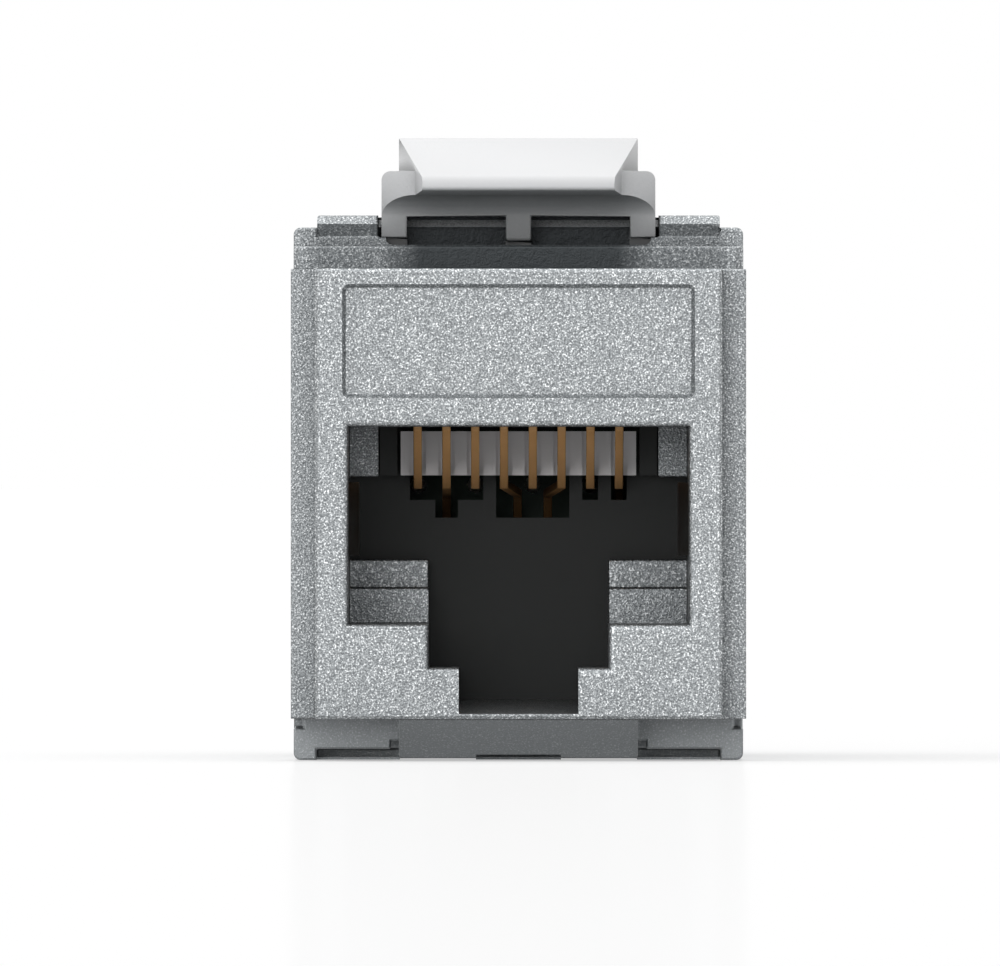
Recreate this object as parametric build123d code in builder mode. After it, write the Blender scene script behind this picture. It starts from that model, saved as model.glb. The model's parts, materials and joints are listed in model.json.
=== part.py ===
from build123d import *
import os

os.makedirs("parts", exist_ok=True)

# Keystone jack, in millimetres.
# X is to the right seen from the front, Y goes back from the nose face and Z is up.
# The origin is the centre of the nose face, where the jack fills its panel window.

# Outside of the die-cast housing
nose_width = 14.3
nose_height = 15.8
shoulder_width = 16.0
shoulder_y = 1.6
body_width = 15.85
body_height = 18.78
body_y = 6.1
roof = body_height / 2
step_y = 4.9
step_top = roof - 0.67
step_round = 0.35
shell_end = 18.8
corner_radius = 0.25
edge_break = 0.1
fit = 0.1

# Label panel in the nose face
label_width = 12.38
label_height = 4.0
label_z = 5.36
label_depth = 0.22

# Port for the plug
port_width = 11.95
port_top = 2.36
port_floor = -4.58
tab_width = 6.32
tab_floor = -6.11
keyway_width = 4.2
keyway_floor = -7.73
keyway_rise = 0.45
port_depth = 10.4
port_round = 0.22
ledge_y = 8.0
ledge_back_y = 9.2
ledge_inner = 3.18
ledge_top = -2.33
ledge_step = -3.33
block_inner = 4.95
block_floor = 0.59
block_y = 8.6

# Pocket above the port and room behind it
pocket_width = 10.0
pocket_top = 6.9
pocket_y = 1.6
side_wall = 1.025
roof_wall = 1.15
room_width = body_width - 2 * side_wall
room_height = body_height - 2 * roof_wall

# Windows in the side walls that the terminal block snaps into
window_y = 16.2
window_length = 1.4
window_height = 3.6
window_z = 4.6
snap_depth = 0.5
snap_land = 0.4

# Side spring pockets
spring_pocket = 6.5
spring_top = 0.4
spring_floor = -2.17
spring_start = 1.8
spring_end = 7.9
spring_foot = 1.2
spring_peak_y = 4.3
spring_bulge = 5.56
spring_bend = 1.2
sheet = 0.2

# Seat of the latch on the housing
trench_y = 6.4
trench_end = 7.9
trench_half = 4.95
seat_end = 8.5
guard_outer = 7.1
guard_top = roof + 0.43
rib_top = roof + 0.37
rib_front_top = roof + 0.28
seat_slope = 0.3
lip_top = roof - 0.35
lip_middle_top = roof - 0.61
lip_middle_width = 9.36
pivot_y = 7.25
pivot_z = roof - 1.05
pivot_radius = 0.35
pivot_clearance = 0.05
pivot_length = 11.2
trench_floor = pivot_z - 0.45

# Release latch
arm_width = 9.66
arm_front = 6.5
arm_rear = 17.0
arm_under = roof + 0.4
arm_relief = roof + 0.57
arm_relief_end = 9.4
arm_rear_under = roof + 1.25
arm_top = roof + 1.99
arm_corner = 0.32
hollow_radius = 0.75
head_width = 8.44
head_nose_width = 6.76
head_nose_y = 4.7
head_nose_floor = roof + 1.31
head_nose_top = roof + 1.74
head_top_y = 8.2
head_top_z = roof + 3.17
flare_width = head_nose_width + (head_width - head_nose_width) * (
    (arm_front - hollow_radius - head_nose_y) / (head_top_y - head_nose_y)
)
nose_round = 0.35
nose_lip_round = 0.15
catch_y = 9.3
leg_width = 0.9
leg_depth = 1.1
leg_foot = lip_top - 0.01
leg_middle_foot = lip_middle_top + 0.12
leg_shank_depth = 0.65
thumb_ridge_y = 15.2
thumb_ridge_pitch = 0.8
thumb_ridge_width = 0.35
thumb_ridge_height = 0.1

# Fixed hook under the nose, the groove behind it and the slot under the apron
hook_width = 8.4
hook_front = 1.2
hook_foot = 3.0
hook_bottom = 0.12 - roof
hook_notch = 0.1
groove_y = 6.9
groove_end = 8.4
groove_top = 1.15 - roof
apron_bottom = 0.39 - roof
apron_width = 14.24
slot_bottom = 0.09 - roof
slot_depth = 1.6
notch_width = 0.3
corner_notch = 0.35
pad_width = 3.0
pad_relief = 0.15
relief_length = 6.0

# Contacts of the port
contact_count = 8
contact_pitch = 1.016
contact_width = 0.3
contact_thick = 0.3
contact_tip_y = 4.6
contact_tip_z = 2.7
contact_return = 1.6
contact_return_rise = 0.4
contact_bend = 0.35
contact_bend_y = 9.5
contact_z = 0.32
jog_start = 9.8
jog_end = 11.0
jog = 0.48
dip = 0.3
tail_drop = 1.8
tail_drop_start = 12.1
tail_drop_end = 13.6
tail_length = 0.4

# Comb in front of the back wall, with a root that reaches the board
comb_width = 8.32
comb_y = 9.0
comb_floor = 0.65
comb_top = port_top - 0.15
comb_groove = 0.3
comb_gap = 0.12
root_width = 7.8
root_height = 1.0
root_z = 1.6

# Insert with its back wall
back_wall = 1.4
insert_wall = 1.0
wire_slot = 0.56
group_slot = 2 * contact_pitch + wire_slot
slot_floor = -0.22
deep_slot_floor = -0.85
deep_slot_width = 0.8
tip_slot_height = 2.2
tip_slot_y = 3.0

# Circuit board, terminal block and its forked terminals
board_y = 14.2
board_thick = 1.2
board_back = board_y + board_thick
pin_hole = 0.7
tail_hole = 0.56
tail_pocket = 0.9
tail_pocket_depth = 0.6
block_foot = 1.6
block_end = 21.0
block_width = 9.7
block_height = room_height - 3.6
block_core = 5.2
core_y = 17.6
channel = 1.0
idc_pitch = 2.4
idc_row = 4.6
idc_width = 1.7
idc_thick = 0.4
idc_end = 20.6
idc_slot = 0.35
idc_slot_y = 17.45
idc_mouth = 0.6
idc_tip = 0.3
idc_pin = 0.4
idc_pin_reach = 0.2

# Wire organizer
organizer_end = 25.5
organizer_corner = 0.8
organizer_hole = 3.0
organizer_ring = 4.0
organizer_ring_end = 27.5
organizer_mouth = 0.3
stuffer_width = 0.8
stuffer_height = 1.1
stuffer_inner = 1.05
stuffer_outer = 1.15
stuffer_y = 18.4

# Rear wings on their hinge pins
knuckle_radius = 1.4
hinge_x = body_width / 2 - knuckle_radius
hinge_y = 20.5
pin_radius = 0.6
pin_length = body_height - fit
pin_chamfer = 0.12
pin_clearance = 0.05
wing_gap = 0.12
wing_height = room_height - 0.5
wing_wall = 1.1
wing_plate = 1.0
wing_end = 33.0
wing_corner = 2.5
neck_radius = 4.6
neck_bore = 3.4
neck_end = 38.0
tie_groove_y = 35.0
tie_groove_length = 1.6
tie_groove_depth = 0.45
lip_radius = 5.0
lip_length = 0.9
grip_y = 26.2
grip_length = 6.4
grip_height = 10.0
grip_corner = 0.8
grip_depth = 0.35
grip_rib_pitch = 1.5
grip_rib_width = 0.6
grip_rib_height = 8.4

# Places of the terminals, and of the contact tails in the board
idc_places = [
    (idc_pitch * (column - 1.5), row * idc_row) for row in (1, -1) for column in range(4)
]
contact_x = [(number - (contact_count + 1) / 2) * contact_pitch for number in range(1, 9)]
contact_shift = [0, 0, 0, jog, 0, -jog, 0, 0]
contact_dip = [0, dip, 0, dip, 0, dip, 0, 0]
tail_z = [contact_z, contact_z - tail_drop] * 4
tail_places = [(x + shift, z) for x, shift, z in zip(contact_x, contact_shift, tail_z)]


def front_plane(y):
    """Plane that faces the front at a depth of y, so that a negative extrusion goes back."""
    return Plane.XZ.offset(-y)


# Die-cast front housing
with BuildPart() as front_housing:
    with BuildSketch(front_plane(0)):
        Rectangle(nose_width, nose_height)
    extrude(amount=-body_y)
    with BuildSketch(front_plane(shoulder_y)):
        Rectangle(shoulder_width, nose_height)
    extrude(amount=shoulder_y - body_y)
    with BuildSketch(front_plane(step_y)):
        Rectangle(body_width, step_top, align=(Align.CENTER, Align.MIN))
    extrude(amount=step_y - body_y)
    step_edges = front_housing.edges().filter_by(Axis.Z)
    fillet(step_edges.filter_by_position(Axis.Y, step_y - fit, step_y + fit), step_round)
    with BuildSketch(front_plane(body_y)):
        RectangleRounded(body_width, body_height, corner_radius)
    extrude(amount=body_y - shell_end)

    # Roofs over and under the wings, round about the hinge pins
    with BuildSketch(Plane.XY):
        with BuildLine():
            Polyline((-body_width / 2, shell_end), (-body_width / 2, hinge_y))
            RadiusArc((-body_width / 2, hinge_y), (-hinge_x, hinge_y + knuckle_radius), knuckle_radius)
            Line((-hinge_x, hinge_y + knuckle_radius), (hinge_x, hinge_y + knuckle_radius))
            RadiusArc((hinge_x, hinge_y + knuckle_radius), (body_width / 2, hinge_y), knuckle_radius)
            Polyline(
                (body_width / 2, hinge_y), (body_width / 2, shell_end), (-body_width / 2, shell_end)
            )
        make_face()
    extrude(amount=body_height / 2, both=True)
    with BuildSketch(front_plane(shell_end)):
        Rectangle(body_width, room_height)
    extrude(amount=shell_end - hinge_y - knuckle_radius, mode=Mode.SUBTRACT)

    # Fixed hook, apron, panel groove and the dark slot under the apron
    with BuildSketch(front_plane(body_y)):
        with Locations((0, -body_height / 2)):
            Rectangle(apron_width, body_height / 2 + apron_bottom, align=(Align.CENTER, Align.MIN))
        with Locations((0, apron_bottom)):
            Rectangle(hook_width + 2 * notch_width, notch_width, align=(Align.CENTER, Align.MIN))
        with Locations((0, -nose_height / 2 - corner_notch / 2)):
            with GridLocations(body_width - corner_notch, 0, 2, 1):
                Rectangle(corner_notch, corner_notch)
    extrude(amount=body_y - groove_end, mode=Mode.SUBTRACT)
    with BuildSketch(Plane.YZ):
        with BuildLine():
            Polyline(
                (hook_front, -nose_height / 2 + edge_break),
                (hook_foot, hook_bottom),
                (groove_y, hook_bottom),
                (groove_y, -nose_height / 2 + edge_break),
                close=True,
            )
        make_face()
    extrude(amount=hook_width / 2, both=True)
    with BuildSketch(front_plane(hook_front)):
        with Locations((0, hook_bottom)):
            Rectangle(pad_width, hook_notch, align=(Align.CENTER, Align.MIN))
    extrude(amount=hook_front - groove_y, mode=Mode.SUBTRACT)
    with BuildSketch(front_plane(groove_y)):
        with Locations((0, -body_height / 2)):
            Rectangle(apron_width, body_height / 2 + groove_top, align=(Align.CENTER, Align.MIN))
    extrude(amount=groove_y - groove_end, mode=Mode.SUBTRACT)
    with BuildSketch(front_plane(groove_end)):
        with Locations((0, slot_bottom)):
            Rectangle(apron_width, apron_bottom - slot_bottom, align=(Align.CENTER, Align.MIN))
    extrude(amount=-slot_depth, mode=Mode.SUBTRACT)
    with BuildSketch(front_plane(groove_end)):
        with Locations((0, -body_height / 2)):
            Rectangle(hook_width, pad_relief, align=(Align.CENTER, Align.MIN))
            Rectangle(pad_width, pad_relief, align=(Align.CENTER, Align.MIN), mode=Mode.SUBTRACT)
    extrude(amount=-relief_length, mode=Mode.SUBTRACT)

    # Port with its two tab slots
    with BuildSketch(front_plane(0)):
        with Locations((0, port_floor)):
            Rectangle(port_width, port_top - port_floor, align=(Align.CENTER, Align.MIN))
        with Locations((0, tab_floor)):
            Rectangle(tab_width, port_floor - tab_floor, align=(Align.CENTER, Align.MIN))
    extrude(amount=-port_depth, mode=Mode.SUBTRACT)
    with BuildSketch(Plane.YZ):
        with BuildLine():
            Polyline(
                (0, tab_floor),
                (0, keyway_floor),
                (port_depth, keyway_floor + keyway_rise),
                (port_depth, tab_floor),
                close=True,
            )
        make_face()
    extrude(amount=keyway_width / 2, both=True, mode=Mode.SUBTRACT)
    mouth_edges = front_housing.faces().sort_by(Axis.Y)[0].inner_wires()[0].edges()
    fillet(mouth_edges.filter_by(lambda edge: edge.center().Z > tab_floor - fit), port_round)

    # Pocket for the upper body of the insert, and the room for the board and terminals
    with BuildSketch(front_plane(pocket_y)):
        with Locations((0, port_top)):
            Rectangle(pocket_width, pocket_top - port_top, align=(Align.CENTER, Align.MIN))
    extrude(amount=pocket_y - port_depth, mode=Mode.SUBTRACT)
    with BuildSketch(front_plane(port_depth)):
        Rectangle(room_width, room_height)
    extrude(amount=port_depth - shell_end, mode=Mode.SUBTRACT)

    with BuildSketch(Plane.YZ):
        with Locations((window_y, window_z), (window_y, -window_z)):
            Rectangle(window_length, window_height)
    extrude(amount=body_width / 2, both=True, mode=Mode.SUBTRACT)

    # Ledges and corner blocks that stop the plug
    with BuildSketch(Plane.YZ.offset(ledge_inner)):
        with BuildLine():
            Polyline(
                (ledge_y, port_floor),
                (ledge_y, ledge_step),
                (ledge_back_y, ledge_step),
                (ledge_back_y, ledge_top),
                (port_depth, ledge_top),
                (port_depth, port_floor),
                close=True,
            )
        make_face()
    extrude(amount=port_width / 2 - ledge_inner)
    with BuildSketch(front_plane(block_y)):
        with Locations((block_inner, block_floor)):
            Rectangle(
                port_width / 2 - block_inner, port_top - block_floor, align=(Align.MIN, Align.MIN)
            )
    extrude(amount=block_y - port_depth)
    mirror(about=Plane.YZ)

    # Side spring pockets in the walls of the port
    with BuildSketch(Plane.YZ):
        with Locations((spring_start - fit, spring_floor - fit)):
            Rectangle(
                spring_end - spring_start + 2 * fit,
                spring_top - spring_floor + 2 * fit,
                align=(Align.MIN, Align.MIN),
            )
    extrude(amount=spring_pocket, both=True, mode=Mode.SUBTRACT)

    # Seat of the latch: guard ribs, low lip, trench with bearings and the middle rib
    with BuildSketch(Plane.YZ):
        with BuildLine():
            Polyline(
                (body_y, trench_floor),
                (body_y, lip_top),
                (trench_y, lip_top),
                (trench_y, guard_top - seat_slope),
                (trench_y + seat_slope, guard_top),
                (seat_end, guard_top),
                (seat_end, trench_floor),
                close=True,
            )
        make_face()
    extrude(amount=guard_outer, both=True)
    with BuildSketch(front_plane(body_y)):
        with Locations((0, lip_top)):
            Rectangle(2 * guard_outer, roof, align=(Align.CENTER, Align.MIN))
        with Locations((0, lip_middle_top)):
            RectangleRounded(
                lip_middle_width, roof, corner_radius, align=(Align.CENTER, Align.MIN)
            )
    extrude(amount=body_y - trench_y, mode=Mode.SUBTRACT)
    with BuildSketch(Plane.YZ):
        with BuildLine():
            Polyline(
                (trench_y, trench_floor),
                (trench_end, trench_floor),
                (trench_end, rib_front_top - seat_slope),
                (trench_end + seat_slope, rib_front_top),
                (trench_end + seat_slope, rib_top),
                (seat_end, rib_top),
                (seat_end, guard_top),
                (trench_y, guard_top),
                close=True,
            )
        make_face()
    extrude(amount=trench_half, both=True, mode=Mode.SUBTRACT)
    with BuildSketch(Plane.YZ):
        with Locations((pivot_y, pivot_z)):
            Circle(pivot_radius + pivot_clearance)
    extrude(amount=pivot_length / 2 + fit, both=True, mode=Mode.SUBTRACT)

    # Label panel, sunk with sloping sides
    with BuildSketch(front_plane(0)):
        with Locations((0, label_z)):
            RectangleRounded(label_width, label_height, corner_radius)
    extrude(amount=-label_depth, taper=30, mode=Mode.SUBTRACT)

    # Bores for the hinge pins
    with BuildSketch(Plane.XY):
        with Locations((-hinge_x, hinge_y), (hinge_x, hinge_y)):
            Circle(pin_radius)
    extrude(amount=body_height / 2, both=True, mode=Mode.SUBTRACT)

    chamfer(front_housing.faces().sort_by(Axis.Y)[0].outer_wire().edges(), edge_break)
front_housing.part.label = "front_housing"
export_step(front_housing.part, "parts/front_housing.step")

# White release latch: ramp head over a hollow, flared arm, three legs and the pivot bar
hollow_y = arm_front - hollow_radius
hollow_z = arm_under + hollow_radius
hollow_mid = hollow_radius * 0.5**0.5
with BuildPart() as latch_head:
    with BuildSketch(Plane.YZ):
        with BuildLine():
            Polyline(
                (hollow_y, hollow_z),
                (head_nose_y, head_nose_floor),
                (head_nose_y, head_nose_top),
                (head_top_y, head_top_z),
                (catch_y, head_top_z),
                (catch_y, hollow_z),
                close=True,
            )
        make_face()
    extrude(amount=head_width / 2, both=True)
    with BuildSketch(Plane.XY):
        with BuildLine():
            Polyline(
                (-head_nose_width / 2, head_nose_y),
                (head_nose_width / 2, head_nose_y),
                (head_width / 2, head_top_y),
                (head_width / 2, catch_y),
                (-head_width / 2, catch_y),
                (-head_width / 2, head_top_y),
                close=True,
            )
        make_face()
    extrude(amount=2 * head_top_z, mode=Mode.INTERSECT)
    nose_edges = latch_head.edges().filter_by(Axis.X).group_by(Axis.Y)[0].sort_by(Axis.Z)
    fillet(nose_edges[-1], nose_round)
    nose_edges = latch_head.edges().filter_by(Axis.X).sort_by(Axis.Z)
    fillet(nose_edges.sort_by(Axis.Y)[0], nose_lip_round)
with BuildPart() as release_latch:
    with BuildSketch(Plane.YZ):
        with BuildLine():
            ThreePointArc(
                (arm_front, arm_under),
                (hollow_y + hollow_mid, arm_under + hollow_mid),
                (hollow_y, hollow_z),
            )
            Polyline(
                (hollow_y, hollow_z),
                (hollow_y, arm_top),
                (arm_rear, arm_top),
                (arm_rear, arm_rear_under),
                (arm_relief_end, arm_relief),
                (arm_front + leg_depth, arm_relief),
                (arm_front + leg_depth, arm_under),
                (arm_front, arm_under),
            )
        make_face()
    extrude(amount=arm_width / 2, both=True)
    # Front of the arm flares out from the width of the head
    with BuildSketch(Plane.XY):
        with BuildLine():
            Polyline(
                (-flare_width / 2, hollow_y),
                (flare_width / 2, hollow_y),
                (arm_width / 2, arm_front),
                (arm_width / 2, arm_rear),
                (-arm_width / 2, arm_rear),
                (-arm_width / 2, arm_front),
                close=True,
            )
        make_face()
    extrude(amount=2 * head_top_z, mode=Mode.INTERSECT)
    fillet(release_latch.edges().filter_by(Axis.Y).group_by(Axis.Z)[-1], arm_corner)
    add(latch_head.part)
    # Legs with their shanks down to the pivot bar
    with BuildSketch(Plane.XY.offset(leg_foot)):
        with Locations((0, arm_front + leg_depth / 2)):
            with GridLocations(arm_width - leg_width, 0, 2, 1):
                Rectangle(leg_width, leg_depth)
    extrude(amount=arm_relief - leg_foot)
    with BuildSketch(Plane.XY.offset(leg_middle_foot)):
        with Locations((0, arm_front + leg_depth / 2)):
            Rectangle(leg_width, leg_depth)
    extrude(amount=arm_relief - leg_middle_foot)
    with BuildSketch(Plane.XY.offset(pivot_z)):
        with Locations((0, arm_front + leg_depth - leg_shank_depth / 2)):
            with GridLocations((arm_width - leg_width) / 2, 0, 3, 1):
                Rectangle(leg_width, leg_shank_depth)
    extrude(amount=arm_under - pivot_z)
    with Locations((0, pivot_y, pivot_z)):
        Cylinder(pivot_radius, pivot_length, rotation=(0, 90, 0))
    with BuildSketch(Plane.XY.offset(arm_top)):
        with Locations((0, thumb_ridge_y)):
            with GridLocations(0, thumb_ridge_pitch, 1, 3):
                Rectangle(head_width, thumb_ridge_width)
    extrude(amount=thumb_ridge_height)
release_latch.part.label = "release_latch"
export_step(release_latch.part, "parts/release_latch.step")

# Black insert: back wall with wire slots, upper body over the port, frame behind
with BuildPart() as port_insert:
    with BuildSketch(front_plane(port_depth)):
        Rectangle(room_width - 2 * fit, room_height - 2 * fit)
    extrude(amount=port_depth - board_y)
    with BuildSketch(front_plane(port_depth + back_wall)):
        Rectangle(
            room_width - 2 * fit - 2 * insert_wall, room_height - 2 * fit - 2 * insert_wall
        )
    extrude(amount=port_depth + back_wall - board_y, mode=Mode.SUBTRACT)
    with BuildSketch(front_plane(pocket_y + fit)):
        with Locations((0, port_top)):
            Rectangle(
                pocket_width - 2 * fit, pocket_top - port_top - fit, align=(Align.CENTER, Align.MIN)
            )
    extrude(amount=pocket_y + fit - port_depth)
    with BuildSketch(front_plane(comb_y)):
        with Locations((0, comb_floor)):
            Rectangle(
                pocket_width - 2 * fit, port_top - comb_floor, align=(Align.CENTER, Align.MIN)
            )
    extrude(amount=comb_y - port_depth)
    with BuildSketch(front_plane(comb_y)):
        with Locations((0, comb_floor)):
            Rectangle(
                comb_width + 2 * comb_gap, port_top - comb_floor, align=(Align.CENTER, Align.MIN)
            )
    extrude(amount=comb_y - port_depth, mode=Mode.SUBTRACT)
    # Slots over the port for the free ends of the contacts
    with BuildSketch(front_plane(tip_slot_y)):
        with Locations((0, port_top + tip_slot_height / 2)):
            with GridLocations(contact_pitch, 0, contact_count, 1):
                Rectangle(wire_slot, tip_slot_height)
    extrude(amount=tip_slot_y - comb_y, mode=Mode.SUBTRACT)
    # Slots in the back wall, wider where three wires share one, and the seat of the comb's root
    with BuildSketch(front_plane(port_depth)):
        for slot_x, slot_width, floor_z in (
            (contact_x[1], group_slot, slot_floor),
            (contact_x[1], deep_slot_width, deep_slot_floor),
            (contact_x[4], group_slot, deep_slot_floor),
            (contact_x[6], wire_slot, slot_floor),
            (contact_x[7], wire_slot, slot_floor),
        ):
            with Locations((slot_x, floor_z)):
                Rectangle(slot_width, comb_floor - floor_z, align=(Align.CENTER, Align.MIN))
        with Locations((0, root_z)):
            Rectangle(root_width, root_height)
    extrude(amount=-back_wall, mode=Mode.SUBTRACT)
port_insert.part.label = "port_insert"
export_step(port_insert.part, "parts/port_insert.step")

# Light grey comb in front of the back wall, with a tongue back to the board
with BuildPart() as contact_comb:
    with BuildSketch(front_plane(comb_y)):
        with Locations((0, comb_floor)):
            Rectangle(comb_width, comb_top - comb_floor, align=(Align.CENTER, Align.MIN))
    extrude(amount=comb_y - port_depth)
    with BuildSketch(front_plane(port_depth)):
        with Locations((0, root_z)):
            Rectangle(root_width, root_height)
    extrude(amount=port_depth - board_y)
    with BuildSketch(front_plane(comb_y)):
        with Locations((0, (comb_floor + comb_top) / 2)):
            with GridLocations(contact_pitch, 0, contact_count, 1):
                Rectangle(wire_slot, comb_top - comb_floor)
    extrude(amount=-comb_groove, mode=Mode.SUBTRACT)
contact_comb.part.label = "contact_comb"
export_step(contact_comb.part, "parts/contact_comb.step")

# Eight contacts: free end over the port, slope, run through the back wall, tail in the board
for number, (wire_x, drop, (tail_x, tail_end_z)) in enumerate(
    zip(contact_x, contact_dip, tail_places), 1
):
    with BuildPart() as contact:
        with BuildSketch(Plane.YZ.offset(wire_x - contact_width / 2)):
            with BuildLine():
                FilletPolyline(
                    (contact_tip_y + contact_return, contact_tip_z + contact_return_rise),
                    (contact_tip_y, contact_tip_z),
                    (contact_bend_y, contact_z),
                    (jog_start, contact_z),
                    radius=contact_bend,
                )
            trace(line_width=contact_thick)
        extrude(amount=contact_width)
        with BuildSketch(Plane.YZ.offset(tail_x - contact_width / 2)):
            with BuildLine():
                Polyline(
                    (jog_end, contact_z - drop),
                    (tail_drop_start, contact_z - drop),
                    (tail_drop_end, tail_end_z),
                    (board_back + tail_length, tail_end_z),
                )
            trace(line_width=contact_thick)
        extrude(amount=contact_width)
        with BuildSketch(front_plane(jog_start)):
            with Locations((wire_x, contact_z)):
                Rectangle(contact_width, contact_thick)
        with BuildSketch(front_plane(jog_end)):
            with Locations((tail_x, contact_z - drop)):
                Rectangle(contact_width, contact_thick)
        loft()
    contact.part.label = f"contact_{number}"
    export_step(contact.part, f"parts/contact_{number}.step")

# Side springs of the port: a foot flat in the pocket and a bulge into the port
with BuildPart() as shield_spring_right:
    with BuildSketch(Plane.XY.offset(spring_floor)):
        with BuildLine():
            FilletPolyline(
                (spring_pocket - sheet / 2, spring_end),
                (spring_pocket - sheet / 2, spring_end - spring_foot),
                (spring_bulge + sheet / 2, spring_peak_y),
                (spring_pocket - 1.5 * sheet, spring_start + sheet),
                radius=spring_bend,
            )
        trace(line_width=sheet)
    extrude(amount=spring_top - spring_floor)
shield_spring_right.part.label = "shield_spring_right"
export_step(shield_spring_right.part, "parts/shield_spring_right.step")

with BuildPart() as shield_spring_left:
    mirror(shield_spring_right.part, about=Plane.YZ)
shield_spring_left.part.label = "shield_spring_left"
export_step(shield_spring_left.part, "parts/shield_spring_left.step")

# Circuit board with a hole for every tail and terminal pin
with BuildPart() as circuit_board:
    with BuildSketch(front_plane(board_y)):
        Rectangle(room_width - 4 * fit, room_height - 4 * fit)
        with Locations(*idc_places):
            RegularPolygon(pin_hole / 2, 8, major_radius=False, mode=Mode.SUBTRACT)
        with Locations(*tail_places):
            RegularPolygon(tail_hole / 2, 8, major_radius=False, mode=Mode.SUBTRACT)
    extrude(amount=-board_thick)
circuit_board.part.label = "circuit_board"
export_step(circuit_board.part, "parts/circuit_board.step")

# Terminal block: foot in the housing, towers round the forks, channels for the wires
with BuildPart() as terminal_block:
    with BuildSketch(front_plane(board_back)):
        Rectangle(room_width - 2 * fit, room_height - 2 * fit)
    extrude(amount=-block_foot)
    with BuildSketch(front_plane(board_back + block_foot)):
        Rectangle(block_width, block_height)
    extrude(amount=board_back + block_foot - block_end)
    with BuildSketch(front_plane(core_y)):
        Rectangle(block_width, block_core)
    extrude(amount=core_y - block_end, mode=Mode.SUBTRACT)
    with BuildSketch(front_plane(core_y)):
        with GridLocations(idc_pitch, 0, 4, 1):
            Rectangle(channel, block_height)
    extrude(amount=core_y - block_end, mode=Mode.SUBTRACT)
    with BuildSketch(front_plane(board_back)):
        with Locations(*tail_places):
            Rectangle(tail_pocket, tail_pocket)
    extrude(amount=-tail_pocket_depth, mode=Mode.SUBTRACT)
    with BuildSketch(front_plane(board_back)):
        with GridLocations(idc_pitch, 2 * idc_row, 4, 2):
            Rectangle(idc_width + fit, idc_thick + fit)
    extrude(amount=board_back - block_end, mode=Mode.SUBTRACT)
    snap_height = window_height - 2 * fit
    with BuildSketch(
        Plane.XY.offset(window_z - snap_height / 2), Plane.XY.offset(-window_z - snap_height / 2)
    ):
        with BuildLine():
            Polyline(
                (room_width / 2 - 2 * fit, window_y + window_length / 2 - fit),
                (room_width / 2 + snap_depth, window_y + window_length / 2 - fit),
                (room_width / 2 + snap_depth, window_y + window_length / 2 - fit - snap_land),
                (room_width / 2 - fit, window_y - window_length / 2 + fit),
                (room_width / 2 - 2 * fit, window_y - window_length / 2 + fit),
                close=True,
            )
        make_face()
        mirror(about=Plane.YZ)
    extrude(amount=snap_height)
terminal_block.part.label = "terminal_block"
export_step(terminal_block.part, "parts/terminal_block.step")

# Eight forked terminals, each with a pin in the board and a slot that grips the wire
for number, (fork_x, fork_z) in enumerate(idc_places, 1):
    with BuildPart() as fork:
        with BuildSketch(Plane.XY.offset(fork_z - idc_thick / 2)):
            with BuildLine():
                Polyline(
                    (fork_x - idc_pin / 2, board_y - idc_pin_reach),
                    (fork_x + idc_pin / 2, board_y - idc_pin_reach),
                    (fork_x + idc_pin / 2, board_back),
                    (fork_x + idc_width / 2, board_back),
                    (fork_x + idc_width / 2, idc_end - idc_tip),
                    (fork_x + idc_width / 2 - idc_tip, idc_end),
                    (fork_x + idc_slot / 2, idc_end - idc_mouth),
                    (fork_x + idc_slot / 2, idc_slot_y),
                    (fork_x - idc_slot / 2, idc_slot_y),
                    (fork_x - idc_slot / 2, idc_end - idc_mouth),
                    (fork_x - idc_width / 2 + idc_tip, idc_end),
                    (fork_x - idc_width / 2, idc_end - idc_tip),
                    (fork_x - idc_width / 2, board_back),
                    (fork_x - idc_pin / 2, board_back),
                    close=True,
                )
            make_face()
        extrude(amount=idc_thick)
    fork.part.label = f"idc_{number}"
    export_step(fork.part, f"parts/idc_{number}.step")

# Wire organizer: cap with a ring for the cable and ribs that press the wires home
with BuildPart() as wire_organizer:
    with BuildSketch(front_plane(block_end)):
        RectangleRounded(block_width, block_height, organizer_corner)
    extrude(amount=block_end - organizer_end)
    with BuildSketch(front_plane(organizer_end)):
        Circle(organizer_ring)
    extrude(amount=organizer_end - organizer_ring_end)
    with BuildSketch(front_plane(stuffer_y)):
        for rib_z in (idc_row - stuffer_inner, idc_row + stuffer_outer):
            with GridLocations(idc_pitch, 2 * rib_z, 4, 2):
                Rectangle(stuffer_width, stuffer_height)
    extrude(amount=stuffer_y - block_end)
    with BuildSketch(front_plane(stuffer_y)):
        Circle(organizer_hole)
    extrude(amount=stuffer_y - organizer_ring_end, mode=Mode.SUBTRACT)
    chamfer(
        wire_organizer.edges().filter_by(GeomType.CIRCLE).group_by(Axis.Y)[-1], organizer_mouth
    )
wire_organizer.part.label = "wire_organizer"
export_step(wire_organizer.part, "parts/wire_organizer.step")

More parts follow.
